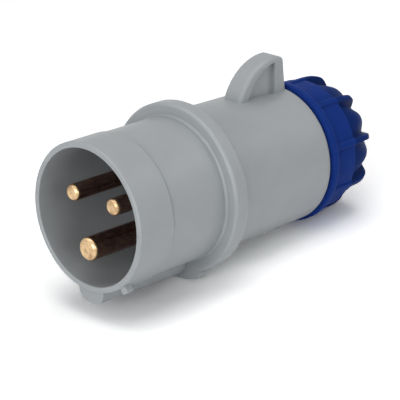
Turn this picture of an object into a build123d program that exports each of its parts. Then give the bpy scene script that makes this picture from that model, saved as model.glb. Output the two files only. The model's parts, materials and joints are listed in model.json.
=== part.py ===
"""Industrial plug, 16 A, two poles and earth, with a webbed lug on top and a cable gland.

Frame: the plug's axis is Y. The centre of the shroud's rim is the origin, the contact pins point
to -Y, the gland nut is at the +Y end, and the webbed lug is on top, at +Z. All sizes are in mm.
"""
from build123d import *
import math
import os

os.makedirs("parts", exist_ok=True)

# Clearances
seat_gap = 0.3          # a piece that presses on its neighbour across a moving joint
turning_gap = 0.3       # radial room round a piece that turns or slides
fitted_gap = 0.05       # radial room between pieces that are fixed together
loose_fit = 0.2         # radial room of a piece that is dropped in and screwed down

# Shroud round the contact pins
shroud_bore_r = 20.2
shroud_wall = 1.4
shroud_length = 34.2    # from the rim to the collar
lip_height = 0.4
lip_length = 12.75
rim_round = 0.55

# Collar, which stops the plug in its socket
collar_height = 3.8
collar_width = 5.3

# Rear body
body_step = 0.1         # how much the body is thicker than the shroud
body_length = 40.8
body_draft = 0.6        # how much its radius shrinks from the collar to the end
body_wall = 2.5
body_end_round = 1.5

# Key under the shroud, the foot where it meets the collar, and the nib beside it
key_width = 10.0
key_height = 4.6
key_corner = 3.7
key_setback = 1.4
foot_height = 1.9
foot_half_angle = 24.0
foot_thickness = 2.6
foot_flat_depth = 0.4   # how far the foot's flat is below its round outside
nib_angle = -51.0
nib_height = 2.0
nib_width = 2.2
nib_setback = 0.7
nib_length = 2.4

# Webbed lug on top: heights above the body's end radius, lengths forward of the body's end
lug_width = 7.0
lug_web = 4.0
lug_edge_round = 1.2
lug_top_height = 11.3
lug_rear_height = 10.3
lug_crown_height = 7.9
lug_foot_forward = 22.4
lug_crown_forward = 16.3
lug_top_forward = 5.7
lug_rear_forward = 2.9
lug_rear_foot_forward = 1.6
pocket_foot_forward = 18.4
pocket_crown_forward = 14.7
pocket_crown_height = 6.2
pocket_top_forward = 6.8
pocket_top_height = 9.6

# Contact carrier and the ledge that it is screwed to
carrier_setback = 1.8   # how far its face lies behind the collar's front
flange_thickness = 3.0
gasket_thickness = 0.8
ledge_thickness = 4.0
ledge_height = 4.2
carrier_body_length = 7.0
face_ring_height = 0.9
face_ring_wall = 1.4
guide_width = 2.4       # rib in the shroud's bore that keeps the carrier upright
guide_height = 1.2

# Contact pins, evenly spaced on one circle with the earth pin at the bottom
pin_circle_r = 9.54
earth_pin_angle = -90.0
live_pin_r = 2.5
earth_pin_r = 3.5
live_pin_setback = 1.9  # how far its tip lies behind the rim
earth_pin_setback = 0.0
pin_tip_round = 1.1
pin_groove_lead = 0.5   # how far the groove starts before the carrier's face ring
pin_groove_width = 0.8
pin_groove_depth = 0.3
pin_collar_step = 1.9   # the collar's radius less the pin's, on every pin
pin_collar_length = 2.0
barrel_step = 1.3       # the terminal barrel's radius less the pin's
barrel_length = 14.0
wire_hole_step = 0.9    # the pin's radius less the wire hole's
wire_hole_depth = 11.0

# Terminal screws and the saddles that press on the wire
terminal_screw_r = 1.45
terminal_head_r = 2.5
terminal_head_height = 1.7
terminal_from_end = 5.5
terminal_head_lift = 1.0
saddle_width = 2.0
saddle_length = 6.0
saddle_thickness = 0.5

# Plate that holds the pins in, and its screw
plate_thickness = 3.0
plate_screw_r = 1.25
plate_screw_depth = 5.4
plate_head_r = 2.8
plate_head_height = 1.8

# Two screws that hold the carrier to the ledge
carrier_screw_r = 1.0
carrier_head_r = 1.95
carrier_head_height = 1.4
carrier_head_recess = 1.8
carrier_screw_end = 1.0  # how far its point stands out behind the ledge
carrier_screw_angles = {"right": 0.0, "left": 180.0}
screw_slot_width = 0.7
screw_slot_depth = 0.7

# Gland: a threaded neck on the body, with the rubber seal inside it
neck_step = 3.9         # how much the neck is thinner than the body's end
neck_wall = 2.2
neck_length = 14.0
seat_depth = 1.8        # from the body's end face to the seal's seat
seat_width = 3.5
seat_wall = 2.0
chamber_cone = 2.5
cable_r = 6.0
washer_thickness = 1.0
washer_room = 3.0       # the washer's bore radius less the seal's
seal_groove = 0.9
ring_room = 2.4         # the clamp ring's bore radius less the seal's
ring_entry = 0.3        # how far the ring stands in the neck when the nut is tight
ring_length = 5.0
ring_bead = 0.55
ring_bead_length = 1.0

# Gland nut
thread_depth = 0.9      # between the neck and the nut's plain bore
thread_run_out = 0.7
nut_wall = 2.2
nut_rear_wall = 3.7
nut_ring_height = 0.8   # how far the nut's front ring stands out from the body's end
nut_ring_length = 2.3
nut_shoulder_length = 11.0
nut_step = 0.6          # the sharp step in from the floor to the shoulder
nut_shoulder_first = 5.1
nut_shoulder_drop = 1.2
nut_end_drop = 4.5
nut_mouth_chamfer = 1.6
fin_count = 9
fin_first_angle = 15.0
fin_height = 0.6
fin_width = 1.7
fin_setback = 1.8       # from the fin's end to the nut's end
fin_curve_length = 10.8
fin_curve_drop = 3.5
fin_edge_round = 0.4

# Radii that follow from the sizes above
shroud_r = shroud_bore_r + shroud_wall
lip_r = shroud_r + lip_height
body_front_r = shroud_r + body_step
body_rear_r = body_front_r - body_draft
collar_r = body_front_r + collar_height
collar_round = 0.26 * min(collar_height, collar_width)
collar_root = 0.2 * min(collar_height, collar_width)
foot_r = collar_r + foot_height
foot_level = foot_r - foot_flat_depth
ledge_r = shroud_bore_r - ledge_height
carrier_flange_r = shroud_bore_r - loose_fit
carrier_body_r = ledge_r - 2 * loose_fit
carrier_screw_circle_r = (carrier_flange_r + ledge_r) / 2 - 2 * loose_fit
plate_r = carrier_body_r - loose_fit
chamber_front_r = body_front_r - body_wall
chamber_rear_r = body_rear_r - body_wall
neck_r = body_rear_r - neck_step
neck_bore_r = neck_r - neck_wall
seat_bore_r = neck_bore_r - seat_width
gland_piece_r = neck_bore_r - turning_gap
nut_bore_r = neck_r + thread_depth
nut_floor_r = nut_bore_r + nut_wall
nut_ring_r = body_rear_r + nut_ring_height
nut_end_r = nut_floor_r - nut_end_drop
nut_mouth_r = cable_r + washer_room
fin_r = nut_floor_r + fin_height

# Places along the axis that follow
collar_back = shroud_length + collar_width
cavity_depth = shroud_length + carrier_setback
flange_back = cavity_depth + flange_thickness
ledge_front = flange_back + gasket_thickness
ledge_back = ledge_front + ledge_thickness
carrier_back = flange_back + carrier_body_length
face_ring_front = cavity_depth - face_ring_height
pin_collar_front = carrier_back - pin_collar_length
plate_back = carrier_back + plate_thickness
barrel_end = carrier_back + barrel_length
terminal_y = barrel_end - terminal_from_end
body_end = collar_back + body_length
seal_seat = body_end + seat_depth
chamber_end = seal_seat - seat_wall - chamber_cone
neck_end = body_end + neck_length
seal_front = seal_seat + washer_thickness
ring_front = neck_end - ring_entry
seal_back = ring_front - seat_gap
ring_back = ring_front + ring_length
bead_front = ring_front + (ring_length + ring_bead_length) / 2
nut_front = body_end + seat_gap
nut_ring_back = nut_front + nut_ring_length
nut_thread_end = neck_end + thread_run_out
nut_pocket_end = ring_back + seat_gap
nut_end = nut_pocket_end + nut_rear_wall
nut_shoulder_start = nut_end - nut_shoulder_length
fin_end = nut_end - fin_setback

# The three pins, each with its angle, its radius and its distance behind the rim
pin_names = ["earth", "neutral", "line"]
pin_angles = {name: earth_pin_angle + number * 360 / 3 for number, name in enumerate(pin_names)}
pin_radii = {"earth": earth_pin_r, "neutral": live_pin_r, "line": live_pin_r}
pin_setbacks = {"earth": earth_pin_setback, "neutral": live_pin_setback, "line": live_pin_setback}


def rounded(section, rounds):
    """Flat section with some of its corners rounded, each given as (x, y) and a radius."""
    for (x, y), radius in rounds:
        corner = section.vertices().sort_by_distance((x, y, 0))[0]
        section = fillet(corner, radius)
    return section


def turned(points, rounds=()):
    """Solid turned about the plug's axis from (radius, distance along the axis) points.

    rounds pairs some of the points with the radius of the rounding there.
    """
    section = make_face(Polyline(*points, close=True))
    return revolve(rounded(section, rounds), axis=Axis.Y)


def along_plug(section, start, end):
    """Prism of a cross-section, drawn with +X to the right and +Z up, between two Y values."""
    return extrude(Plane.XZ.offset(-start) * section, amount=start - end)


def rod(radius, start, end, x=0.0, z=0.0):
    """Round rod parallel to the plug's axis."""
    return along_plug(Pos(x, z) * Circle(radius), start, end)


def at_angle(radius, degrees):
    """X and Z of a point on a circle about the axis, with 0 degrees at +X and 90 at +Z."""
    return radius * math.cos(math.radians(degrees)), radius * math.sin(math.radians(degrees))


def radial_plane(degrees, distance, y):
    """Plane whose local z points outwards from the axis, and whose local x is the plug's axis."""
    x, z = at_angle(distance, degrees)
    ux, uz = at_angle(1.0, degrees)
    return Plane(origin=(x, y, z), x_dir=(0, 1, 0), z_dir=(ux, 0, uz))


def slotted_screw(head_r, head_height, shank_r, shank_length):
    """Screw whose head stands on the XY plane, with its shank below it and a slot across its top."""
    head = extrude(Circle(head_r), amount=head_height)
    top_edge = head.edges().sort_by(Axis.Z)[-1]
    head = fillet(top_edge, head_height * 0.3)
    shank = extrude(Circle(shank_r), amount=-shank_length)
    shank = chamfer(shank.edges().sort_by(Axis.Z)[0], shank_r * 0.4)
    slot = Pos(0, 0, head_height) * Box(3 * head_r, screw_slot_width, 2 * screw_slot_depth)
    return head + shank - slot


def housing_shell():
    """Shroud, collar, rear body and threaded neck, turned as one wall."""
    rim_inner = (shroud_bore_r, 0)
    rim_outer = (lip_r, 0)
    collar_foot = (shroud_r, shroud_length)
    collar_front_edge = (collar_r, shroud_length)
    collar_back_edge = (collar_r, collar_back)
    collar_heel = (body_front_r, collar_back)
    body_corner = (body_rear_r, body_end)
    neck_corner = (neck_r, neck_end)
    points = [
        rim_inner,
        rim_outer,
        (lip_r, lip_length),
        (shroud_r, lip_length + lip_height),
        collar_foot,
        collar_front_edge,
        collar_back_edge,
        collar_heel,
        body_corner,
        (neck_r, body_end),
        neck_corner,
        (neck_bore_r, neck_end),
        (neck_bore_r, seal_seat),
        (seat_bore_r, seal_seat),
        (seat_bore_r, seal_seat - seat_wall),
        (chamber_rear_r, chamber_end),
        (chamber_front_r, ledge_back),
        (ledge_r, ledge_back),
        (ledge_r, ledge_front),
        (shroud_bore_r, ledge_front),
    ]
    rounds = [
        (rim_inner, rim_round * 0.6),
        (rim_outer, rim_round),
        (collar_foot, collar_root),
        (collar_front_edge, collar_round),
        (collar_back_edge, collar_round),
        (collar_heel, collar_root),
        (body_corner, body_end_round),
        (neck_corner, neck_wall / 4),
    ]
    return turned(points, rounds)


def key_under_shroud():
    """Rounded key along the bottom of the shroud, which fits the socket's keyway."""
    wall_middle = shroud_bore_r + shroud_wall / 2
    height = shroud_r + key_height - wall_middle + key_corner
    block = Pos(0, height / 2 - shroud_r - key_height) * Rectangle(key_width, height)
    lower_corners = block.vertices().sort_by(Axis.Y)[:2]
    block = fillet(lower_corners, key_corner)
    back = shroud_length + foot_thickness / 2
    return along_plug(block, key_setback, back) - rod(wall_middle, 0, collar_back)


def foot_under_collar():
    """Low foot that carries the collar out over the end of the key, flat where the plug rests."""
    left = at_angle(2 * foot_r, earth_pin_angle - foot_half_angle)
    right = at_angle(2 * foot_r, earth_pin_angle + foot_half_angle)
    wedge = make_face(Polyline((0, 0), left, right, close=True))
    sector = wedge & Circle(foot_r)
    floor_cut = Pos(0, -foot_level - foot_r / 2) * Rectangle(2 * foot_r, foot_r)
    sector = sector - floor_cut - Circle(collar_r - collar_height / 2)
    outer_corners = sector.vertices().sort_by_distance((0, 0, 0))[-4:]
    ends = [corner for corner in outer_corners if abs(corner.X) > foot_r * 0.3]
    sector = fillet(ends, foot_height * 0.5)
    return along_plug(sector, shroud_length, shroud_length + foot_thickness)


def guiding_nib():
    """Small nib beside the key, at the rim."""
    depth = lip_r + nib_height - shroud_bore_r
    block = Pos(shroud_bore_r + depth / 2, 0) * Rectangle(depth, nib_width)
    outer_corners = block.vertices().sort_by(Axis.X)[-2:]
    block = Rot(0, 0, nib_angle) * fillet(outer_corners, nib_width * 0.3)
    wall_middle = shroud_bore_r + shroud_wall / 2
    return along_plug(block, nib_setback, nib_setback + nib_length) - rod(wall_middle, 0, lip_length)


def webbed_lug():
    """Strap that rises from the body, runs back in an arc and comes down, with a web inside it."""
    root = body_rear_r - body_wall / 3
    foot = (body_end - lug_foot_forward, root)
    crown = (body_end - lug_crown_forward, body_rear_r + lug_crown_height)
    top = (body_end - lug_top_forward, body_rear_r + lug_top_height)
    rear_top = (body_end - lug_rear_forward, body_rear_r + lug_rear_height)
    rear_foot = (body_end - lug_rear_foot_forward, root)
    outline = make_face([
        ThreePointArc(foot, crown, top),
        Line(top, rear_top),
        Line(rear_top, rear_foot),
        Line(rear_foot, foot),
    ])
    outline = rounded(outline, [(rear_top, lug_edge_round)])
    strap = extrude(Plane.YZ * outline, amount=lug_width / 2, both=True)
    side_edges = strap.edges().filter_by(lambda edge: abs(abs(edge.center().X) - lug_width / 2) < 0.01)
    upper_edges = [edge for edge in side_edges if edge.center().Z > body_rear_r]
    strap = fillet(upper_edges, lug_edge_round)
    pocket_front = (body_end - pocket_foot_forward, root)
    pocket_crown = (body_end - pocket_crown_forward, body_rear_r + pocket_crown_height)
    pocket_top = (body_end - pocket_top_forward, body_rear_r + pocket_top_height)
    pocket_rear = (body_end - pocket_top_forward, root)
    pocket = make_face([
        ThreePointArc(pocket_front, pocket_crown, pocket_top),
        Line(pocket_top, pocket_rear),
        Line(pocket_rear, pocket_front),
    ])
    for start in (lug_web / 2, -lug_web / 2 - lug_width):
        strap = strap - extrude(Plane.YZ.offset(start) * pocket, amount=lug_width)
    return strap


def guide_rib():
    """Rib at the top of the shroud's bore that enters the carrier's notch."""
    height = guide_height + shroud_wall / 2
    middle = shroud_bore_r - guide_height + height / 2
    return along_plug(Pos(0, middle) * Rectangle(guide_width, height), cavity_depth + seat_gap, ledge_front)


def make_housing():
    housing = housing_shell() + key_under_shroud() + foot_under_collar() + guiding_nib()
    housing = housing + webbed_lug() + guide_rib()
    for angle in carrier_screw_angles.values():
        x, z = at_angle(carrier_screw_circle_r, angle)
        pilot_r = carrier_screw_r + fitted_gap
        housing = housing - rod(pilot_r, ledge_front - seat_gap, ledge_back + seat_gap, x, z)
    return housing


def guide_notch(start, end):
    """Room for the guide rib, cut from the carrier and from its gasket."""
    top = shroud_bore_r + guide_height
    bottom = shroud_bore_r - guide_height - loose_fit
    section = Pos(0, (top + bottom) / 2) * Rectangle(guide_width + 2 * loose_fit, top - bottom)
    return along_plug(section, start, end)


def make_contact_carrier():
    flange = rod(carrier_flange_r, cavity_depth, flange_back)
    front_edge = flange.edges().sort_by(Axis.Y)[0]
    carrier = fillet(front_edge, 2 * loose_fit) + rod(carrier_body_r, flange_back, carrier_back)
    carrier = carrier - guide_notch(face_ring_front, flange_back)
    for name, angle in pin_angles.items():
        x, z = at_angle(pin_circle_r, angle)
        carrier = carrier + rod(pin_radii[name] + face_ring_wall, face_ring_front, cavity_depth, x, z)
    for name, angle in pin_angles.items():
        x, z = at_angle(pin_circle_r, angle)
        carrier = carrier - rod(pin_radii[name] + fitted_gap, 0, carrier_back, x, z)
        pocket_r = pin_radii[name] + pin_collar_step + fitted_gap
        carrier = carrier - rod(pocket_r, pin_collar_front, carrier_back + pin_collar_length, x, z)
    for angle in carrier_screw_angles.values():
        x, z = at_angle(carrier_screw_circle_r, angle)
        carrier = carrier - rod(carrier_head_r + 2 * fitted_gap, 0, cavity_depth + carrier_head_recess, x, z)
        carrier = carrier - rod(carrier_screw_r + loose_fit, 0, ledge_front, x, z)
    pilot_start = carrier_back - plate_screw_depth
    return carrier - rod(plate_screw_r + fitted_gap, pilot_start, plate_back)


def make_carrier_gasket():
    """Flat rubber ring between the carrier's flange and the ledge."""
    gasket = rod(carrier_flange_r, flange_back, ledge_front) - rod(ledge_r, cavity_depth, ledge_back)
    gasket = gasket - guide_notch(cavity_depth, ledge_back)
    for angle in carrier_screw_angles.values():
        x, z = at_angle(carrier_screw_circle_r, angle)
        gasket = gasket - rod(carrier_screw_r + loose_fit, cavity_depth, ledge_back, x, z)
    return gasket


def make_pin(name):
    """Turned contact pin with its collar and its terminal barrel, bored and tapped for the wire."""
    radius = pin_radii[name]
    angle = pin_angles[name]
    x, z = at_angle(pin_circle_r, angle)
    shaft = rod(radius, pin_setbacks[name], pin_collar_front, x, z)
    tip_edge = shaft.edges().filter_by(GeomType.CIRCLE).sort_by(Axis.Y)[0]
    pin = fillet(tip_edge, pin_tip_round)
    groove_start = face_ring_front - pin_groove_lead
    groove = rod(radius + face_ring_wall, groove_start, groove_start + pin_groove_width, x, z)
    groove = groove - rod(radius - pin_groove_depth, 0, cavity_depth, x, z)
    pin = pin - groove
    pin = pin + rod(radius + pin_collar_step, pin_collar_front, carrier_back, x, z)
    pin = pin + rod(radius + barrel_step, carrier_back, barrel_end, x, z)
    pin = pin - rod(radius - wire_hole_step, barrel_end - wire_hole_depth, barrel_end + barrel_step, x, z)
    mouth = radial_plane(angle, pin_circle_r, terminal_y)
    return pin - extrude(mouth * Circle(terminal_screw_r + fitted_gap), amount=2 * radius)


def saddle_floor(name):
    """Distance from the pin's axis to the saddle's inner face, near the wall of the wire hole."""
    wire_hole_r = pin_radii[name] - wire_hole_step
    half_width = saddle_width / 2 + fitted_gap
    return math.sqrt(wire_hole_r ** 2 - half_width ** 2) - fitted_gap - saddle_thickness


def make_terminal_screw(name):
    head_at = pin_radii[name] + barrel_step + terminal_head_lift
    shank_length = head_at - saddle_floor(name) - saddle_thickness
    screw = slotted_screw(terminal_head_r, terminal_head_height, terminal_screw_r, shank_length)
    return radial_plane(pin_angles[name], pin_circle_r + head_at, terminal_y) * screw


def make_wire_saddle(name):
    """Small plate under the screw's point, which presses on the wire without cutting it."""
    plate = Box(saddle_length, saddle_width, saddle_thickness)
    plate = fillet(plate.edges().filter_by(Axis.Z), saddle_width / 5)
    middle = saddle_floor(name) + saddle_thickness / 2
    return radial_plane(pin_angles[name], pin_circle_r + middle, terminal_y) * plate


def make_retaining_plate():
    """Plate behind the carrier that traps the collars of the pins."""
    plate = rod(plate_r, carrier_back, plate_back)
    plate = chamfer(plate.edges().sort_by(Axis.Y)[-1], plate_thickness / 6)
    for name, angle in pin_angles.items():
        x, z = at_angle(pin_circle_r, angle)
        plate = plate - rod(pin_radii[name] + barrel_step + fitted_gap, pin_collar_front, barrel_end, x, z)
    return plate - rod(plate_screw_r + fitted_gap, pin_collar_front, barrel_end)


def make_plate_screw():
    shank_length = plate_thickness + plate_screw_depth - seat_gap
    screw = slotted_screw(plate_head_r, plate_head_height, plate_screw_r, shank_length)
    return Plane(origin=(0, plate_back, 0), x_dir=(1, 0, 0), z_dir=(0, 1, 0)) * screw


def make_carrier_screw(side):
    x, z = at_angle(carrier_screw_circle_r, carrier_screw_angles[side])
    head_seat = cavity_depth + carrier_head_recess
    shank_length = ledge_back + carrier_screw_end - head_seat
    screw = slotted_screw(carrier_head_r, carrier_head_height, carrier_screw_r, shank_length)
    return Plane(origin=(x, head_seat, z), x_dir=(1, 0, 0), z_dir=(0, -1, 0)) * screw


def make_seal_washer():
    """Washer between the seat in the neck and the rubber seal."""
    return rod(gland_piece_r, seal_seat, seal_front) - rod(cable_r + washer_room, body_end, seal_back)


def make_cable_seal():
    """Rubber seal with rings that are cut out to suit the cable, so its rear end is grooved."""
    pitch = (gland_piece_r - cable_r) / 3
    groove_half = seal_groove / 2
    points = [(cable_r, seal_front), (gland_piece_r, seal_front), (gland_piece_r, seal_back)]
    for middle in (cable_r + 2 * pitch, cable_r + pitch):
        points.append((middle + groove_half, seal_back))
        points.append((middle, seal_back - 2 * seal_groove))
        points.append((middle - groove_half, seal_back))
    points.append((cable_r, seal_back))
    return turned(points)


def make_clamp_ring():
    """Ring that the nut pushes onto the seal. A bead keeps it in the nut, where it can turn."""
    bead_r = gland_piece_r + ring_bead
    bore_r = cable_r + ring_room
    return turned([
        (bore_r, ring_front),
        (gland_piece_r, ring_front),
        (gland_piece_r, bead_front),
        (bead_r, bead_front),
        (bead_r, bead_front + ring_bead_length),
        (gland_piece_r, bead_front + ring_bead_length),
        (gland_piece_r, ring_back),
        (bore_r + ring_bead, ring_back),
    ])


def nut_body():
    """Front ring, plain floor between the fins, and a shoulder that slopes in to the rear end."""
    front_edge = (nut_ring_r, nut_front)
    ring_edge = (nut_ring_r, nut_ring_back)
    shoulder_bend = (nut_floor_r - nut_shoulder_drop, nut_shoulder_start + nut_shoulder_first)
    rear_edge = (nut_end_r, nut_end)
    points = [
        (0, nut_front),
        front_edge,
        ring_edge,
        (nut_floor_r, nut_ring_back),
        (nut_floor_r, nut_shoulder_start),
        (nut_floor_r - nut_step, nut_shoulder_start + nut_step / 2),
        shoulder_bend,
        rear_edge,
        (0, nut_end),
    ]
    rounds = [
        (front_edge, nut_ring_height / 2),
        (ring_edge, nut_ring_height / 2),
        (shoulder_bend, nut_shoulder_first / 2),
        (rear_edge, nut_mouth_chamfer / 2),
    ]
    return turned(points, rounds)


def grip_fin():
    """Thin fin that runs back from the front ring and curves in over the shoulder."""
    start = nut_front + nut_ring_length / 2
    curve_start = fin_end - fin_curve_length
    inner_r = nut_end_r - nut_wall / 2
    tip_r = fin_r - fin_curve_drop
    profile = make_face([
        Line((inner_r, start), (fin_r, start)),
        Line((fin_r, start), (fin_r, curve_start)),
        EllipticalCenterArc((tip_r, curve_start), fin_curve_drop, fin_curve_length, arc_size=90),
        Line((tip_r, fin_end), (inner_r, fin_end)),
        Line((inner_r, fin_end), (inner_r, start)),
    ])
    fin = extrude(profile, amount=fin_width / 2, both=True)
    side_edges = fin.edges().filter_by(lambda edge: abs(abs(edge.center().Z) - fin_width / 2) < 0.01)
    outer_edges = [edge for edge in side_edges if edge.center().X > (inner_r + fin_r) / 2 + fin_edge_round]
    return fillet(outer_edges, fin_edge_round)


def nut_bore():
    """Thread bore, the pocket that the clamp ring snaps into, and the mouth for the cable."""
    pocket_r = gland_piece_r + turning_gap
    groove_r = pocket_r + ring_bead
    groove_front = bead_front - turning_gap
    groove_back = bead_front + ring_bead_length + turning_gap
    beyond = nut_end + nut_mouth_chamfer
    return turned([
        (0, body_end - seat_gap),
        (nut_bore_r, body_end - seat_gap),
        (nut_bore_r, nut_thread_end),
        (pocket_r, nut_thread_end),
        (pocket_r, groove_front),
        (groove_r, groove_front),
        (groove_r, groove_back),
        (pocket_r, groove_back),
        (pocket_r, nut_pocket_end),
        (nut_mouth_r, nut_pocket_end),
        (nut_mouth_r, nut_end - nut_mouth_chamfer),
        (nut_mouth_r + 2 * nut_mouth_chamfer, beyond),
        (0, beyond),
    ])


def make_gland_nut():
    nut = nut_body()
    fin = grip_fin()
    for number in range(fin_count):
        angle = fin_first_angle + number * 360 / fin_count
        nut = nut + Rot(0, -angle, 0) * fin
    return nut - nut_bore()


def save(name, part):
    """Write one node, checked to be a single solid."""
    solids = part.solids()
    assert len(solids) == 1, f"{name} has {len(solids)} solids"
    export_step(solids[0], f"parts/{name}.step")
    print(name, round(solids[0].volume, 1))


save("housing", make_housing())
save("contact_carrier", make_contact_carrier())
save("carrier_gasket", make_carrier_gasket())
save("retaining_plate", make_retaining_plate())
save("plate_screw", make_plate_screw())
for side in carrier_screw_angles:
    save(f"carrier_screw_{side}", make_carrier_screw(side))
for name in pin_names:
    save(f"pin_{name}", make_pin(name))
    save(f"terminal_screw_{name}", make_terminal_screw(name))
    save(f"wire_saddle_{name}", make_wire_saddle(name))
save("seal_washer", make_seal_washer())
save("cable_seal", make_cable_seal())
save("clamp_ring", make_clamp_ring())
save("gland_nut", make_gland_nut())
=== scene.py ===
# %% [markdown]
# # An industrial plug, dressed for its photograph
#
# The plug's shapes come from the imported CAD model, which is loaded first and never moved.
# These cells give each piece the finish of the real one, make the nut's petal-shaped skin and the
# screw thread of the gland, and set the plug on a white floor under soft studio light.
# Blender's lengths are metres. Details of the plug are written in millimetres, and MM turns them
# into metres. The plug's axis is Y, its pins point to -Y, and +Z is up.

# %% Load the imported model
import bpy
import json
import math
import numpy as np
from mathutils import Matrix, Vector


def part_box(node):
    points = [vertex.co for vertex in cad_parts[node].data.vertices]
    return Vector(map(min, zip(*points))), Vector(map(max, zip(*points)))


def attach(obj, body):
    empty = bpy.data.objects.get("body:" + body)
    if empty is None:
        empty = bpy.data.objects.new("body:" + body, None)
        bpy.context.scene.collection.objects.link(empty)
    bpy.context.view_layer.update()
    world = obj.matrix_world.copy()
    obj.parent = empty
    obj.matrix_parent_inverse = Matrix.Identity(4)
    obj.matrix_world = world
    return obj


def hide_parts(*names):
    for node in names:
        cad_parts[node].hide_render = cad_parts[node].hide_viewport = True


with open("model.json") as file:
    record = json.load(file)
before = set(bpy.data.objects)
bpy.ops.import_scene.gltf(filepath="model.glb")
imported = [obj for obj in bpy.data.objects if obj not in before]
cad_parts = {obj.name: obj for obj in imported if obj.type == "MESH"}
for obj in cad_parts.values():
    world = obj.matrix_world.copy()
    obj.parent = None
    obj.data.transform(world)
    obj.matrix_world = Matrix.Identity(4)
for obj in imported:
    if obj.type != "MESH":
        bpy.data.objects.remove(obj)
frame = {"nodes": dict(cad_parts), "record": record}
nodes = frame["nodes"]
scene = bpy.context.scene
MM = 0.001

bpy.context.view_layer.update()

# %% [markdown]
# ## The camera
#
# A product photograph is taken with a long lens, so that the shroud's rim isn't much larger than
# the nut behind it. The camera stands in front and to the right of the pins, a little above them.
# A constraint could aim it, but an azimuth, an elevation and a roll can be read, and set against
# the photograph one at a time.

# %% Place the camera
CAMERA_AZIMUTH = math.radians(44.46)
CAMERA_ELEVATION = math.radians(20.48)
CAMERA_ROLL = math.radians(0.30)
CAMERA_PLACE = (0.38786, -0.34988, 0.20031)
CAMERA_LENS = 180.0

camera_data = bpy.data.cameras.new("camera")
camera_data.lens = CAMERA_LENS
camera_data.clip_start = 0.01
camera_data.clip_end = 20.0
camera = bpy.data.objects.new("camera", camera_data)
scene.collection.objects.link(camera)
back = Vector((
    math.sin(CAMERA_AZIMUTH) * math.cos(CAMERA_ELEVATION),
    -math.cos(CAMERA_AZIMUTH) * math.cos(CAMERA_ELEVATION),
    math.sin(CAMERA_ELEVATION),
))
level_right = Vector((math.cos(CAMERA_AZIMUTH), math.sin(CAMERA_AZIMUTH), 0.0))
level_up = back.cross(level_right)
right = math.cos(CAMERA_ROLL) * level_right + math.sin(CAMERA_ROLL) * level_up
up = math.cos(CAMERA_ROLL) * level_up - math.sin(CAMERA_ROLL) * level_right
camera.matrix_world = Matrix.Translation(CAMERA_PLACE) @ Matrix((right, up, back)).transposed().to_4x4()
scene.camera = camera
print("camera at", [round(v, 3) for v in camera.location])

# %% [markdown]
# ## The floor
#
# The plug lies on the flat of the foot under its collar and on the front ring of its nut.
# The floor is the plane through both. It could be set by eye, but worked out from the CAD points
# it meets the plug where the plug really rests, so the shadow starts in the right place.

# %% Find the plane that the plug rests on
FOOT_FLATNESS = 0.1 * MM


def corners_of(node):
    """All of a CAD node's vertices as rows of an array."""
    mesh = nodes[node].data
    flat = np.empty(len(mesh.vertices) * 3)
    mesh.vertices.foreach_get("co", flat)
    return flat.reshape(-1, 3)


housing_points = corners_of("housing")
nut_points = corners_of("gland_nut")
foot_height = housing_points[:, 2].min()
foot_back = housing_points[housing_points[:, 2] < foot_height + FOOT_FLATNESS, 1].max()
behind = nut_points[nut_points[:, 1] > foot_back]
floor_slope = ((behind[:, 2] - foot_height) / (behind[:, 1] - foot_back)).min()
print("the floor rises towards the nut by", round(math.degrees(math.atan(floor_slope)), 2), "degrees")

# %% Make the floor
FLOOR_HALF = 1.5
FLOOR_GAP = 0.02 * MM

floor_y = np.array([-FLOOR_HALF, -FLOOR_HALF, FLOOR_HALF, FLOOR_HALF])
floor_x = np.array([-FLOOR_HALF, FLOOR_HALF, FLOOR_HALF, -FLOOR_HALF])
floor_z = foot_height - FLOOR_GAP + floor_slope * (floor_y - foot_back)
floor_mesh = bpy.data.meshes.new("floor")
floor_mesh.from_pydata(np.column_stack([floor_x, floor_y, floor_z]).tolist(), [], [(0, 1, 2, 3)])
floor = bpy.data.objects.new("floor", floor_mesh)
scene.collection.objects.link(floor)
print("floor height under the rim:", round((foot_height - floor_slope * foot_back) / MM, 2), "mm")

# %% [markdown]
# ## Building materials from nodes
#
# Each material is one Principled shader. Whatever is the same all over a piece is typed into the
# shader's own socket, and only what changes over the surface comes in through a link. The nodes
# could be placed by hand in the editor, but short helpers let a finish read like a recipe.

# %% Helpers that add nodes
def add(tree, kind, inputs=None, **settings):
    """A node of that kind in the tree, with its settings and the starting values of its inputs."""
    node = tree.nodes.new(kind)
    for name, value in settings.items():
        setattr(node, name, value)
    for name, value in (inputs or {}).items():
        node.inputs[name].default_value = value
    return node


def feed(tree, socket, value):
    """Give an input socket a link where value is an output socket, and a plain value otherwise."""
    if isinstance(value, bpy.types.NodeSocket):
        tree.links.new(value, socket)
    else:
        socket.default_value = value


def new_material(name, **sockets):
    """A material with an output and a Principled shader, whose sockets take the given values."""
    made = bpy.data.materials.new(name)
    made.use_nodes = True
    tree = made.node_tree
    tree.nodes.clear()
    output = add(tree, "ShaderNodeOutputMaterial")
    shader = add(tree, "ShaderNodeBsdfPrincipled")
    for socket, value in sockets.items():
        shader.inputs[socket.replace("_", " ")].default_value = value
    tree.links.new(shader.outputs[0], output.inputs["Surface"])
    return made, tree, shader


def new_group(name, inputs, outputs):
    """An empty node group with named number inputs and number outputs."""
    tree = bpy.data.node_groups.new(name, "ShaderNodeTree")
    for label, start in inputs.items():
        socket = tree.interface.new_socket(label, in_out="INPUT", socket_type="NodeSocketFloat")
        socket.default_value = start
    for label in outputs:
        tree.interface.new_socket(label, in_out="OUTPUT", socket_type="NodeSocketFloat")
    return tree, tree.nodes.new("NodeGroupInput"), tree.nodes.new("NodeGroupOutput")


def use_group(tree, group, **values):
    """A copy of the group placed in a material's tree, with its own values."""
    node = tree.nodes.new("ShaderNodeGroup")
    node.node_tree = group
    for name, value in values.items():
        node.inputs[name.replace("_", " ")].default_value = value
    return node


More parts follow.
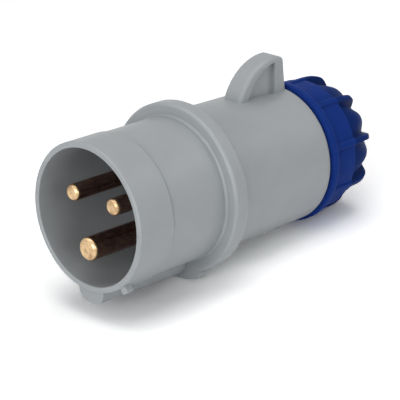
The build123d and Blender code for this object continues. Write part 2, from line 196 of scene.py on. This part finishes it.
# %% Helpers that work on values, each of them a link or a plain value
def maths(tree, operation, *values, **settings):
    """The number that a Math node makes of those numbers."""
    node = add(tree, "ShaderNodeMath", operation=operation, **settings)
    for socket, value in zip(node.inputs, values):
        feed(tree, socket, value)
    return node.outputs[0]


def measure(tree, operation, *vectors):
    """The number that a Vector Math node makes of those vectors, such as a length."""
    node = add(tree, "ShaderNodeVectorMath", operation=operation)
    for socket, vector in zip(node.inputs, vectors):
        feed(tree, socket, vector)
    return node.outputs["Value"]


def mix_colours(tree, factor, first, second):
    """The output of a colour mix that goes from first to second with the linked factor."""
    node = add(tree, "ShaderNodeMix", data_type="RGBA")
    for socket, value in ((node.inputs["Factor"], factor), (node.inputs[6], first), (node.inputs[7], second)):
        feed(tree, socket, value)
    return node.outputs[2]


def spread(tree, value, low, high, to_low=0.0, to_high=1.0):
    """The output of a Map Range that carries low..high of a linked value to to_low..to_high."""
    node = add(tree, "ShaderNodeMapRange", clamp=True)
    tree.links.new(value, node.inputs["Value"])
    for name, number in (("From Min", low), ("From Max", high), ("To Min", to_low), ("To Max", to_high)):
        node.inputs[name].default_value = number
    return node.outputs["Result"]


# %% Helpers that read where a point is
def object_place(tree):
    """The point's place in the plug's own frame, in metres."""
    return add(tree, "ShaderNodeTexCoord").outputs["Object"]


def along_plug(tree, place):
    """How far along the plug's axis a place is."""
    parts = add(tree, "ShaderNodeSeparateXYZ")
    tree.links.new(place, parts.inputs[0])
    return parts.outputs["Y"]


def stretched(tree, place, scale):
    """The place with each of its three parts multiplied by a number of its own."""
    node = add(tree, "ShaderNodeMapping", {"Scale": scale})
    tree.links.new(place, node.inputs["Vector"])
    return node.outputs[0]


def noise_value(tree, place, scale, **inputs):
    """The grey value of a noise whose scale is a number or a link."""
    node = add(tree, "ShaderNodeTexNoise", inputs)
    feed(tree, node.inputs["Vector"], place)
    feed(tree, node.inputs["Scale"], scale)
    return node.outputs["Fac"]


def raise_skin(tree, shader, height, strength, depth):
    """Let a linked height roughen the shader's surface by depth in millimetres."""
    bump = add(tree, "ShaderNodeBump", {"Strength": strength, "Distance": depth * MM})
    tree.links.new(height, bump.inputs["Height"])
    tree.links.new(bump.outputs[0], shader.inputs["Normal"])


# %% [markdown]
# ## Effects that several materials share
#
# Moulded plastic takes a fine grain from the tool that it was shaped in, and its colour drifts a
# little from place to place. Handling polishes and lightens its edges. Corners get painted shade,
# and on the black rubber lighter dust. Each effect could be painted on the mesh, but a node group
# that gives out a value between 0 and 1 finds the edges and corners of any piece by itself.

# %% Moulded grain
FLOW_STRETCH = (260.0, 40.0, 260.0)

moulded_grain, group_in, group_out = new_group(
    "moulded_grain", {"Grain Size": 0.3, "Patch Size": 9.0}, ("Height", "Patches", "Flow")
)
tree = moulded_grain
place = object_place(tree)
for size_name, output_name, detail in (("Grain Size", "Height", 2.0), ("Patch Size", "Patches", 3.0)):
    per_metre = maths(tree, "DIVIDE", 1.0 / MM, group_in.outputs[size_name])
    grey = noise_value(tree, place, per_metre, Detail=detail, Roughness=0.55)
    tree.links.new(grey, group_out.inputs[output_name])
streaks = stretched(tree, place, FLOW_STRETCH)
flow = noise_value(tree, streaks, 1.0, Detail=4.0, Roughness=0.6, Distortion=0.6)
tree.links.new(flow, group_out.inputs["Flow"])
print("moulded_grain gives", [socket.name for socket in group_out.inputs if socket.name])

# %% Rubbed edges
# A noise's values gather round a half, so a range such as RUB_RANGE says where it makes a change.
RUB_WIDTH = 0.4
RUB_PATCHES = 420.0
RUB_RANGE = (0.3, 0.6)
LEAST_RUB = 0.35

rubbed_edges, group_in, group_out = new_group(
    "rubbed_edges", {"Width": RUB_WIDTH, "Reach": 6.0}, ("Mask",)
)
tree = rubbed_edges
rounded = add(tree, "ShaderNodeBevel", samples=6)
tree.links.new(maths(tree, "MULTIPLY", group_in.outputs["Width"], MM), rounded.inputs["Radius"])
facing = add(tree, "ShaderNodeNewGeometry").outputs["Normal"]
agree = measure(tree, "DOT_PRODUCT", rounded.outputs[0], facing)
apart = maths(tree, "SUBTRACT", 1.0, agree)
at_edge = maths(tree, "MULTIPLY", apart, group_in.outputs["Reach"], use_clamp=True)
patchy = noise_value(tree, object_place(tree), RUB_PATCHES, Detail=3.0)
rub = maths(tree, "MULTIPLY", at_edge, spread(tree, patchy, *RUB_RANGE, LEAST_RUB, 1.0))
tree.links.new(rub, group_out.inputs["Mask"])
print("rubbed_edges compares the true normal with one rounded off over", RUB_WIDTH, "mm")

# %% Corners, for painted shade and dust
CORNER_RANGE = (0.35, 0.95)

corner_dust_and_shade, group_in, group_out = new_group("corner_dust_and_shade", {"Distance": 2.0}, ("Mask",))
tree = corner_dust_and_shade
# Ambient occlusion finds the corners, where the materials paint shade, and dust on the rubber.
open_sky = add(tree, "ShaderNodeAmbientOcclusion", samples=8, only_local=True)
tree.links.new(maths(tree, "MULTIPLY", group_in.outputs["Distance"], MM), open_sky.inputs["Distance"])
tree.links.new(spread(tree, open_sky.outputs["AO"], *CORNER_RANGE, 1.0, 0.0), group_out.inputs["Mask"])
print("shared effects:", [group.name for group in bpy.data.node_groups])

# %% [markdown]
# ## The moulded plastics
#
# The housing is a light grey, tough plastic with a satin skin, and the nut is the same kind of
# plastic in the dark blue that stands for 230 volts. Each could have a material of its own, but
# one recipe serves every plastic piece: a base colour that drifts towards a second one, lighter
# rubbed edges, painted shade in the corners, lighter dust in the rubber's, and fine grain. The
# nut's shoulder, behind the drum that the fingers hold, is painted darker as shade. A thin line
# of painted shade runs round the shroud.

# %% A line of painted shade that runs round the shroud
PAINTED_LINE_HALF_WIDTH = 0.4
PAINTED_LINE_CORE = 0.2
PAINTED_LINE_BEYOND = 21.1
PAINTED_LINE_FADE = 0.2


def painted_shade_line(tree, at):
    """A mask of painted shade that is 1 at that place along the axis and fades to 0 over the line's half
    width.

    It is 0 within the radius PAINTED_LINE_BEYOND, so that the painted shade stays off the shroud's bore.
    """
    place = object_place(tree)
    off = maths(tree, "ABSOLUTE", maths(tree, "SUBTRACT", along_plug(tree, place), at * MM))
    near_line = spread(tree, off, PAINTED_LINE_CORE * PAINTED_LINE_HALF_WIDTH * MM, PAINTED_LINE_HALF_WIDTH * MM, 1.0, 0.0)
    radius = measure(tree, "LENGTH", stretched(tree, place, (1.0, 0.0, 1.0)))
    outside = spread(tree, radius, PAINTED_LINE_BEYOND * MM, (PAINTED_LINE_BEYOND + PAINTED_LINE_FADE) * MM)
    return maths(tree, "MULTIPLY", near_line, outside)


# %% A recipe for moulded plastic
PATCH_RANGE = (0.35, 0.65)
FLOW_RANGE = (0.3, 0.7)
SMOOTHER_BY = 0.04
ROUGHER_BY = 0.05
SHOULDER_SHADE_STARTS = -0.05
SHOULDER_SHADE_FULL = 0.15
RUBBED_SHARE = 0.6
PLASTIC_BUMP = 0.35


def moulded_plastic(
    name, colour, drift, rubbed, corner, roughness, grain=0.3, depth=0.02,
    corner_reach=2.0, corner_share=0.7, shoulder_shade=None, shoulder_shade_from=0.0, shade_line_at=None, **sockets
):
    """Plastic that drifts from colour to drift in patches, with rubbed edges and tinted corners: painted
    shade where the corner colour is darker, dust where it is lighter.

    Where a coarse colour is given, it is painted on as shade beyond the place shoulder_shade_from along the
    axis.
    Where shade_line_at is given, a thin line of painted shade in the corner's colour runs round the shroud at
    that place.
    """
    made, tree, shader = new_material(name, IOR=1.5, **sockets)
    skin = use_group(tree, moulded_grain, Grain_Size=grain)
    edges = use_group(tree, rubbed_edges)
    corners = use_group(tree, corner_dust_and_shade, Distance=corner_reach)
    toned = mix_colours(tree, spread(tree, skin.outputs["Patches"], *PATCH_RANGE), colour, drift)
    # painted shade beyond a place along the axis, such as the nut's shoulder
    if shoulder_shade:
        along = along_plug(tree, object_place(tree))
        beyond = spread(tree, along, (shoulder_shade_from + SHOULDER_SHADE_STARTS) * MM, (shoulder_shade_from + SHOULDER_SHADE_FULL) * MM)
        toned = mix_colours(tree, beyond, toned, shoulder_shade)
    if shade_line_at:
        # a thin line of painted shade round the shroud
        toned = mix_colours(tree, painted_shade_line(tree, shade_line_at), toned, corner)
    in_corner = spread(tree, corners.outputs["Mask"], 0.0, 1.0, 0.0, corner_share)
    # Corners take the corner colour: painted shade where it is darker, dust where it is lighter.
    dust_and_shade_toned = mix_colours(tree, in_corner, toned, corner)
    on_edge = spread(tree, edges.outputs["Mask"], 0.0, 1.0, 0.0, RUBBED_SHARE)
    worn = mix_colours(tree, on_edge, dust_and_shade_toned, rubbed)
    tree.links.new(worn, shader.inputs["Base Color"])
    satin = spread(tree, skin.outputs["Flow"], *FLOW_RANGE, roughness - SMOOTHER_BY, roughness + ROUGHER_BY)
    tree.links.new(satin, shader.inputs["Roughness"])
    raise_skin(tree, shader, skin.outputs["Height"], PLASTIC_BUMP, depth)
    return made


# %% The grey of the housing and the blue of the nut
finishes = {}
# The grey has a thin line of painted shade round the shroud, at 13.15 mm along the axis.
finishes["body_plastic"] = moulded_plastic(
    "light_grey_plastic",
    colour=(0.354, 0.375, 0.388, 1.0), drift=(0.372, 0.393, 0.405, 1.0),
    rubbed=(0.470, 0.490, 0.498, 1.0), corner=(0.240, 0.260, 0.275, 1.0),
    roughness=0.40, shade_line_at=13.15,
)
# The nut's corners get a strong painted shade, and its shoulder is painted darker as shade.
finishes["nut_plastic"] = moulded_plastic(
    "dark_blue_plastic",
    colour=(0.0095, 0.0360, 0.2150, 1.0), drift=(0.0110, 0.0400, 0.2350, 1.0),
    rubbed=(0.0180, 0.0600, 0.3000, 1.0), corner=(0.0010, 0.0070, 0.0300, 1.0),
    roughness=0.46, corner_reach=4.0, corner_share=0.9, Specular_IOR_Level=0.03,
    shoulder_shade=(0.0060, 0.0255, 0.1450, 1.0), shoulder_shade_from=92.05,
)

# %% The plastics and the rubber inside
finishes["carrier_plastic"] = moulded_plastic(
    "dark_carrier_plastic",
    colour=(0.060, 0.068, 0.080, 1.0), drift=(0.066, 0.075, 0.088, 1.0),
    rubbed=(0.100, 0.110, 0.125, 1.0), corner=(0.040, 0.046, 0.055, 1.0),
    roughness=0.5,
)
finishes["plate_plastic"] = moulded_plastic(
    "off_white_plastic",
    colour=(0.560, 0.550, 0.500, 1.0), drift=(0.590, 0.575, 0.520, 1.0),
    rubbed=(0.640, 0.630, 0.590, 1.0), corner=(0.400, 0.385, 0.340, 1.0),
    roughness=0.5,
)
finishes["ring_plastic"] = moulded_plastic(
    "dark_ring_plastic",
    colour=(0.055, 0.056, 0.058, 1.0), drift=(0.065, 0.066, 0.068, 1.0),
    rubbed=(0.100, 0.102, 0.105, 1.0), corner=(0.030, 0.031, 0.033, 1.0),
    roughness=0.45,
)
finishes["black_rubber"] = moulded_plastic(
    "black_seal_rubber",
    colour=(0.018, 0.018, 0.019, 1.0), drift=(0.026, 0.026, 0.027, 1.0),
    rubbed=(0.045, 0.045, 0.046, 1.0), corner=(0.040, 0.039, 0.037, 1.0),
    roughness=0.68, grain=0.5, depth=0.05,
)
print("finishes so far:", sorted(finishes))

# %% [markdown]
# ## The contact pins
#
# The pins are turned from brass. Their sides have gone dark brown, as brass does in the air, and
# each push into a socket rubs the rounded tip bright again. Fine scratches run along the pins.
# Two materials with a seam between them could do it, but one that changes along the pin gives the
# bright tip the ragged edge that rubbing leaves.

# %% A brass that is dark along its sides and bright at its tip
BRIGHT_UNTIL = 1.25 * MM
DARK_FROM = 1.6 * MM
RAGGED_BY = 0.5 * MM
SCRATCH_STRETCH = (9000.0, 120.0, 9000.0)
STAINS_PER_METRE = 450.0
BLOTS_PER_METRE = 420.0
SCRATCH_RANGE = (0.3, 0.7)
STREAK_RANGE = (0.55, 0.75)
STREAK_SHARE = 0.5
STAIN_RANGE = (0.35, 0.7)
BLOT_RANGE = (0.38, 0.68)
BRASS_ROUGHNESS = (0.22, 0.36)
DARK_BRONZE = (0.260, 0.150, 0.115, 1.0)
BROWN_BRONZE = (0.400, 0.235, 0.175, 1.0)
STREAK_BRONZE = (0.560, 0.360, 0.260, 1.0)
BRIGHT_BRASS = (0.700, 0.500, 0.285, 1.0)
DULL_BRASS = (0.380, 0.240, 0.125, 1.0)


def contact_brass(name, tip_y):
    """Metal that is bright gold up to a little behind tip_y and dark bronze from there on."""
    made, tree, shader = new_material(name, Metallic=1.0, Anisotropic=0.35)
    place = object_place(tree)
    scratches = noise_value(tree, stretched(tree, place, SCRATCH_STRETCH), 1.0, Detail=2.0)
    stains = noise_value(tree, place, STAINS_PER_METRE, Detail=4.0, Roughness=0.6)
    blots = noise_value(tree, place, BLOTS_PER_METRE, Detail=3.0, Roughness=0.55)
    ragged = maths(tree, "MULTIPLY_ADD", stains, RAGGED_BY, along_plug(tree, place))
    bright = spread(tree, ragged, tip_y + BRIGHT_UNTIL, tip_y + DARK_FROM, 1.0, 0.0)
    side = mix_colours(tree, spread(tree, stains, *STAIN_RANGE), DARK_BRONZE, BROWN_BRONZE)
    streaks = spread(tree, scratches, *STREAK_RANGE, 0.0, STREAK_SHARE)
    streaked = mix_colours(tree, streaks, side, STREAK_BRONZE)
    tip = mix_colours(tree, spread(tree, blots, *BLOT_RANGE), BRIGHT_BRASS, DULL_BRASS)
    tree.links.new(mix_colours(tree, bright, streaked, tip), shader.inputs["Base Color"])
    roughness = spread(tree, scratches, *SCRATCH_RANGE, *BRASS_ROUGHNESS)
    tree.links.new(roughness, shader.inputs["Roughness"])
    raise_skin(tree, shader, scratches, strength=0.25, depth=0.01)
    return made


pin_finishes = {
    name: contact_brass(f"brass_of_{name}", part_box(name)[0].y)
    for name in ("pin_line", "pin_neutral", "pin_earth")
}

# %% [markdown]
# ## The small steel parts
#
# Screws and saddles are zinc plated: a bright, slightly mottled grey. A noise could mottle it, but
# zinc grows in small crystals, and the cells of a Voronoi texture look more like them.

# %% Zinc plate
CRYSTALS_PER_METRE = 900.0
DARK_ZINC = (0.560, 0.570, 0.580, 1.0)
LIGHT_ZINC = (0.680, 0.680, 0.660, 1.0)
ZINC_ROUGHNESS = (0.26, 0.42)

finishes["screw_steel"], tree, shader = new_material("zinc_plated_steel", Metallic=1.0)
crystals = add(tree, "ShaderNodeTexVoronoi", {"Scale": CRYSTALS_PER_METRE})
tree.links.new(object_place(tree), crystals.inputs["Vector"])
mottle = crystals.outputs["Distance"]
zinc = mix_colours(tree, spread(tree, mottle, 0.0, 1.0), DARK_ZINC, LIGHT_ZINC)
tree.links.new(zinc, shader.inputs["Base Color"])
tree.links.new(spread(tree, mottle, 0.0, 1.0, *ZINC_ROUGHNESS), shader.inputs["Roughness"])

# %% Dress each CAD piece in its finish
slots = {part["node"]: part["material_slot"] for part in frame["record"]["subparts"]}
for name, piece in nodes.items():
    finish = pin_finishes.get(name) or finishes[slots[name]]
    piece.data.materials.clear()
    piece.data.materials.append(finish)
print("finishes in use:", sorted({piece.data.materials[0].name for piece in nodes.values()}))

# %% [markdown]
# ## Surfaces on a grid
#
# A turned or winding shape is a function of two parameters, so it can be worked out as one whole
# array of points, row by row, and handed to Blender in one go. That is quicker than pushing
# vertices about, and every point keeps a formula that can be read.

# %% A mesh from a grid of points
SHARP_ANGLE = math.radians(38)


def grid_piece(name, grid, body, slot, closed_rows):
    """A piece whose faces join each point of the grid to the next row and the next column.

    The columns always close on themselves. The rows do where closed_rows is set, and otherwise
    each end row gets a cap.
    """
    rows, columns = grid.shape[:2]
    numbers = np.arange(rows * columns).reshape(rows, columns)
    if closed_rows:
        numbers = np.vstack([numbers, numbers[:1]])
    beside = np.roll(numbers, -1, axis=1)
    faces = np.stack([numbers[:-1], numbers[1:], beside[1:], beside[:-1]], axis=-1).reshape(-1, 4).tolist()
    if not closed_rows:
        faces += [numbers[0].tolist(), numbers[-1][::-1].tolist()]
    mesh = bpy.data.meshes.new(name)
    mesh.from_pydata((grid.reshape(-1, 3) * MM).tolist(), [], faces)
    mesh.shade_smooth()
    mesh.set_sharp_from_angle(angle=SHARP_ANGLE)
    mesh.materials.append(finishes[slot])
    piece = bpy.data.objects.new(name, mesh)
    scene.collection.objects.link(piece)
    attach(piece, body)
    print(name, "has", len(mesh.vertices), "points and", len(mesh.polygons), "faces")
    return piece


def around_axis(angle, radius, along):
    """The points at those angles, radii and places along the plug's axis, in millimetres."""
    angle, radius, along = np.broadcast_arrays(angle, radius, along)
    return np.stack([radius * np.cos(angle), along, radius * np.sin(angle)], axis=-1)


# %% [markdown]
# ## The gland nut
#
# The nut's front ring and the drum behind it are plain turned shapes. Nine fins stand on the drum
# and run on over the shoulder to the rear end. Between two fins the shoulder swells out like a
# petal, with a furrow down each side of the fin. The CAD model has the nut's ring, drum, fins and
# bores, and a plain cone for a shoulder. Petals could be cut into that cone one after another, but
# here the whole skin is one grid with no seams. Each row is a station along the nut's outline, and
# a point's place round the row decides how much of it is petal, furrow or fin.

# %% The nut's stations, from the bore's front edge over the outside and back through the bore
# Each outside station holds the place along the axis and the radius on the petal, the radius in
# the furrow, and the place along the axis and the radius on the fin's crest.
nut_outside = np.array([
    (82.92, 20.70, 20.70, 83.0, 21.30),
    (83.00, 20.42, 20.42, 83.2, 21.05),
    (83.20, 20.30, 20.30, 83.6, 20.92),
    (84.50, 20.30, 20.30, 84.8, 20.90),
    (87.00, 20.30, 20.30, 87.5, 20.90),
    (89.50, 20.30, 20.30, 90.0, 20.90),
    (91.50, 20.30, 20.28, 92.5, 20.88),
    (91.95, 20.25, 20.20, 94.0, 20.82),
    (92.05, 20.00, 19.90, 95.2, 20.70),
    (92.10, 19.20, 19.10, 96.2, 20.55),
    (92.30, 19.00, 18.90, 97.0, 20.40),
    (93.00, 18.95, 18.80, 97.8, 20.20),
    (94.00, 18.90, 18.65, 98.6, 19.95),
    (95.30, 18.80, 18.40, 99.4, 19.60),
    (96.20, 18.72, 18.10, 100.0, 19.25),
    (97.10, 18.60, 17.75, 100.6, 18.75),
    (98.00, 18.42, 17.30, 101.1, 18.20),
    (99.00, 18.10, 16.65, 101.5, 17.60),
    (100.00, 17.70, 15.90, 101.85, 17.00),
    (101.00, 17.15, 15.15, 102.10, 16.40),
    (101.80, 16.60, 14.55, 102.35, 15.80),
    (102.40, 16.15, 14.10, 102.55, 15.20),
    (102.80, 15.70, 13.70, 102.70, 14.60),
    (102.95, 15.30, 13.40, 102.85, 14.20),
    (103.00, 14.90, 13.20, 102.95, 13.80),
    (103.00, 14.00, 13.00, 103.00, 13.40),
])
nut_front_ring = np.array([
    (80.60, 18.10), (80.60, 21.50), (80.72, 21.78), (81.00, 21.90), (82.60, 21.90), (82.82, 21.80),
    (82.90, 21.55),
])
nut_inside = np.array([
    (103.00, 12.60), (103.00, 10.60), (101.40, 9.00), (99.30, 9.00), (99.30, 15.00), (98.30, 15.00),
    (98.30, 15.55), (96.70, 15.55), (96.70, 15.00), (95.00, 15.00), (95.00, 18.10),
])
print("stations:", len(nut_front_ring) + len(nut_outside) + len(nut_inside))

# %% Wrap the stations round the axis
# FIN_FIRST is the first fin's angle in degrees. A fin is flat on top for FIN_FLAT millimetres each
# side of its middle and meets the drum at FIN_FOOT. The next three lines say how finely each sector
# is divided: edges in degrees from the fin's middle, and the steps between them.
FIN_COUNT = 9
FIN_FIRST = 15.0
FIN_FLAT = 0.62
FIN_FOOT = 1.30
CREST_EDGE = 1.2
FLANK_EDGE = 4.4
CREST_STEPS, FLANK_STEPS, PETAL_STEPS = 6, 11, 9


def smooth_step(share):
    """A share that goes from 0 to 1 with no kink at either end: three squares less two cubes."""
    return share * share * (3.0 - 2.0 * share)


def turned_stations(pairs):
    """Stations that are the same all round: along and radius are repeated for furrow and crest."""
    along, radius = pairs.T
    return np.column_stack([along, radius, radius, along, radius])


def nut_skin():
    """The grid of the nut's points.

    The furrow's share is the raised cosine of the angle from the nearest fin. The crest's share
    is 1 within the fin's flat, 0 beyond its foot and a smooth step between.
    """
    sector = 360.0 / FIN_COUNT
    half = sector / 2
    cuts = (
        (-half, -FLANK_EDGE, PETAL_STEPS), (-FLANK_EDGE, -CREST_EDGE, FLANK_STEPS),
        (-CREST_EDGE, CREST_EDGE, CREST_STEPS),
        (CREST_EDGE, FLANK_EDGE, FLANK_STEPS), (FLANK_EDGE, half, PETAL_STEPS),
    )
    one_sector = np.concatenate([np.linspace(low, high, count, endpoint=False) for low, high, count in cuts])
    from_fin = np.tile(one_sector, FIN_COUNT)
    angle = np.repeat(FIN_FIRST + sector * np.arange(FIN_COUNT), len(one_sector)) + from_fin
    stations = np.vstack([turned_stations(nut_front_ring), nut_outside, turned_stations(nut_inside)])
    along, petal, furrow, crest_along, crest = (column[:, None] for column in stations.T)
    furrow_share = 0.5 * (1.0 + np.cos(np.radians(from_fin) * FIN_COUNT))[None, :]
    valley = petal + (furrow - petal) * furrow_share
    across = np.abs(np.radians(from_fin))[None, :] * petal
    share = smooth_step(np.clip((FIN_FOOT - across) / (FIN_FOOT - FIN_FLAT), 0.0, 1.0))
    radius = valley + (crest - valley) * share
    return around_axis(np.radians(angle)[None, :], radius, along + (crest_along - along) * share)


nut_piece = grid_piece("finned_nut", nut_skin(), "nut", "nut_plastic", closed_rows=True)
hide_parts("gland_nut")

# %% [markdown]
# ## The gland's screw thread
#
# The nut screws on to the housing's neck. The CAD model keeps both plain, because a thread gives
# a physics engine nothing but trouble. A Screw modifier could wind the ridges, but their ends need
# a taper, which a formula gives: each ridge is a four-cornered section carried along a right-hand
# helix that moves 3 mm along the axis for each turn, and it thins out to nothing at both ends, as
# a moulded thread does. The nut's ridge runs midway between the neck's turns.

# %% Wind the two ridges
THREAD_PITCH = 3.0
THREAD_STEPS = 60
THREAD_TAPER = 0.25
LEAST_SIZE = 0.02
RIDGE_FOOT_HALF = 1.0
RIDGE_CREST_HALF = 0.45


def thread_ridge(start, end, root, crest, shift=0.0):
    """The grid of a ridge between two places along the axis.

    The place along the axis falls by one pitch for each turn from +X towards +Z. The section's
    height and width are scaled by a smooth step over the first and the last part of a turn.
    """
    turns = (end - start) / THREAD_PITCH
    turned = np.linspace(0.0, turns, int(turns * THREAD_STEPS))[:, None]
    size = smooth_step(np.clip(np.minimum(turned, turns - turned) / THREAD_TAPER, LEAST_SIZE, 1.0))
    side = -1.0 if crest < root else 1.0
    half_widths = np.array([RIDGE_FOOT_HALF, RIDGE_CREST_HALF, -RIDGE_CREST_HALF, -RIDGE_FOOT_HALF])
    offset = side * half_widths[None, :] * size
    height = np.array([0.0, 1.0, 1.0, 0.0])[None, :] * (crest - root) * size
    return around_axis(2.0 * math.pi * turned, root + height, end - THREAD_PITCH * turned + offset + shift)


neck_ridge = thread_ridge(start=82.5, end=93.6, root=17.2, crest=17.92)
nut_ridge = thread_ridge(start=82.6, end=93.6, root=18.15, crest=17.4, shift=THREAD_PITCH / 2)
grid_piece("neck_thread", neck_ridge, "plug_body", "body_plastic", closed_rows=False)
grid_piece("nut_thread", nut_ridge, "nut", "nut_plastic", closed_rows=False)

# %% [markdown]
# ## White floor, white background
#
# The camera and shiny surfaces see a white floor with the plug's shadow on it. The floor's colour
# is above 1 there, so that it shows white under lamps that are gentle on the plug. Close under the
# shroud, where the plug shuts out the sky, the colour is lower, which deepens the shadow beside the
# key. Further off the floor passes into plain white, so no edge shows in any view. Other light sees
# a pale grey floor and a dim room. Stronger lamps could whiten the floor too, but they would bleach
# the plug.

# %% What the camera sees directly
def seen_directly(tree):
    """A value of 1 for rays from the camera, from glossy surfaces and through clear ones, else 0."""
    path = add(tree, "ShaderNodeLightPath")
    either = maths(tree, "MAXIMUM", path.outputs["Is Camera Ray"], path.outputs["Is Glossy Ray"])
    return maths(tree, "MAXIMUM", either, path.outputs["Is Transmission Ray"])


def choose(tree, factor, first, second):
    """The output of a shader mix that goes from the first node to the second with the linked factor."""
    node = add(tree, "ShaderNodeMixShader")
    for socket, value in zip(node.inputs, (factor, first.outputs[0], second.outputs[0])):
        tree.links.new(value, socket)
    return node


# %% The floor's material
FLOOR_SHOWN = (1.68, 1.68, 1.68, 1.0)
FLOOR_UNDER = (0.90, 0.90, 0.90, 1.0)
FLOOR_BOUNCED = (0.82, 0.83, 0.84, 1.0)
WHITE = (1.0, 1.0, 1.0, 1.0)
PLUG_CENTRE = (0.0, 0.05, 0.0)
SHADOW_REACH = (0.13, 0.30)
SKY_DISTANCE = 0.022
SKY_RANGE = (0.25, 0.70)
SHROUD_END = (0.02, 0.05)

floor_material = bpy.data.materials.new("white_floor")
floor_material.use_nodes = True
tree = floor_material.node_tree
tree.nodes.clear()
output = add(tree, "ShaderNodeOutputMaterial")
place = object_place(tree)
open_sky = add(tree, "ShaderNodeAmbientOcclusion", {"Distance": SKY_DISTANCE}, samples=12)
in_the_open = spread(tree, open_sky.outputs["AO"], *SKY_RANGE)
behind_shroud = spread(tree, along_plug(tree, place), *SHROUD_END)
clear = maths(tree, "MAXIMUM", in_the_open, behind_shroud)
near = add(tree, "ShaderNodeBsdfDiffuse")
tree.links.new(mix_colours(tree, clear, FLOOR_UNDER, FLOOR_SHOWN), near.inputs["Color"])
far = add(tree, "ShaderNodeEmission", {"Color": WHITE, "Strength": 1.0})
from_plug = measure(tree, "DISTANCE", place, PLUG_CENTRE)
shown = choose(tree, spread(tree, from_plug, *SHADOW_REACH), near, far)
bounced = add(tree, "ShaderNodeBsdfDiffuse", {"Color": FLOOR_BOUNCED})
choice = choose(tree, seen_directly(tree), bounced, shown)
tree.links.new(choice.outputs[0], output.inputs["Surface"])
floor.data.materials.append(floor_material)
print("the floor passes into white between", SHADOW_REACH, "metres from the plug")

# %% The world
ROOM_TINT = (0.95, 0.97, 1.0, 1.0)
ROOM_STRENGTH = 0.03

world = bpy.data.worlds.new("studio")
scene.world = world
world.use_nodes = True
tree = world.node_tree
tree.nodes.clear()
output = add(tree, "ShaderNodeOutputWorld")
white = add(tree, "ShaderNodeBackground", {"Color": WHITE, "Strength": 1.0})
room = add(tree, "ShaderNodeBackground", {"Color": ROOM_TINT, "Strength": ROOM_STRENGTH})
choice = choose(tree, seen_directly(tree), room, white)
tree.links.new(choice.outputs[0], output.inputs["Surface"])

# %% [markdown]
# ## The lamps
#
# A product table is lit from all round, so that no side of the plug is lost. A wide soft box hangs
# over it. Two more stand in front of the pins, one high and one low, and light the shroud's inside.
# The others light the right side, the nut from the right rear, and the left front. A ring of bare
# lamps would be simpler, but square soft boxes give satin plastic its broad, soft bands of light.

# %% Hang the soft boxes
PLUG_MIDDLE = (0.0, 0.045, 0.0)


def soft_box(name, place, size, watts):
    """Hang a square area lamp that faces the plug's middle."""
    data = bpy.data.lights.new(name, "AREA")
    data.shape = "SQUARE"
    data.size = size
    data.energy = watts
    lamp = bpy.data.objects.new(name, data)
    scene.collection.objects.link(lamp)
    lamp.location = place
    lamp.rotation_euler = (Vector(place) - Vector(PLUG_MIDDLE)).to_track_quat("Z", "Y").to_euler()


soft_box("overhead_box", (0.00, 0.05, 0.75), size=0.70, watts=3.0)
soft_box("right_box", (0.75, -0.12, 0.20), size=0.35, watts=1.4)
soft_box("right_rear_box", (0.45, 0.50, 0.60), size=0.40, watts=0.7)
soft_box("front_high_box", (0.35, -0.65, 0.35), size=0.40, watts=1.1)
soft_box("front_low_box", (0.10, -0.75, 0.12), size=0.35, watts=2.2)
soft_box("left_front_box", (-0.45, -0.50, 0.45), size=0.40, watts=0.6)
all_watts = sum(light.energy for light in bpy.data.lights)
print("lamps:", len(bpy.data.lights), "with", round(all_watts, 1), "watts")

# %% View settings
scene.view_settings.view_transform = "Standard"
